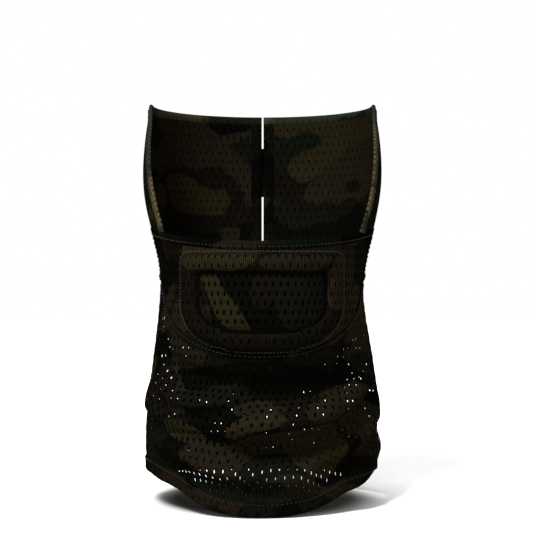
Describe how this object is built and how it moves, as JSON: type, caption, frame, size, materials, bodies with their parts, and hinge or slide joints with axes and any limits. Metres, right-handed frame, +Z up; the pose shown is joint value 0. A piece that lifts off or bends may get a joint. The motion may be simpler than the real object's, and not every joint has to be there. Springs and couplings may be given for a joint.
{
  "type": "face mask",
  "caption": "Half face mask of camouflage eyelet mesh with a padded mouth window, ear panels, a hook-and-loop strap behind the head and a neck drape with a pointed hem.",
  "frame": {"origin": "centre of the head that wears it, midway between the ear canals", "axes": "+Z up out of the head opening, the wearer faces -Y, and +X is to the wearer's left"},
  "size_m": [0.1732, 0.2219, 0.288],
  "materials": {
    "camo_mesh": "eyelet knit polyester in a woodland print",
    "frame_fabric": "ribbed knit polyester over foam",
    "liner_fabric": "plain black tricot",
    "frame_foam": "open-cell foam",
    "hem_fabric": "folded eyelet knit",
    "strap_fabric": "double eyelet knit",
    "thread": "polyester sewing thread",
    "loop_pile": "brushed loop pile",
    "hook_plastic": "moulded hooks on woven tape"
  },
  "bodies": {
    "mask": {"face_liner": "liner_fabric", "foam_frame": "frame_foam", "frame_cover": "frame_fabric", "window_mesh": "camo_mesh", "face_panel": "camo_mesh", "nose_hem": "hem_fabric", "panel_seam": "hem_fabric", "frame_stitching": "thread", "nose_stitching": "thread", "left_ear_panel": "camo_mesh", "left_edge_hem": "hem_fabric", "left_edge_stitching": "thread", "left_slit_hem": "hem_fabric", "right_ear_panel": "camo_mesh", "right_edge_hem": "hem_fabric", "right_edge_stitching": "thread", "right_slit_hem": "hem_fabric", "nape_seam": "hem_fabric", "loop_tape": "loop_pile", "strap_anchor": "strap_fabric", "strap_stitching": "thread", "drape_front": "camo_mesh", "drape_back": "camo_mesh", "back_seam": "hem_fabric", "left_side_seam": "hem_fabric", "right_side_seam": "hem_fabric", "drape_hem": "hem_fabric", "hem_stitching": "thread"},
    "strap": {"closure_strap": "strap_fabric", "hook_tape": "hook_plastic"}
  },
  "joints": [
    {"name": "closure_peel", "type": "hinge", "parent": "mask", "child": "strap", "pos_m": [0.018, 0.1026, 0.029], "axis": [0, 0, -1], "range_deg": [0, 120]}
  ]
}
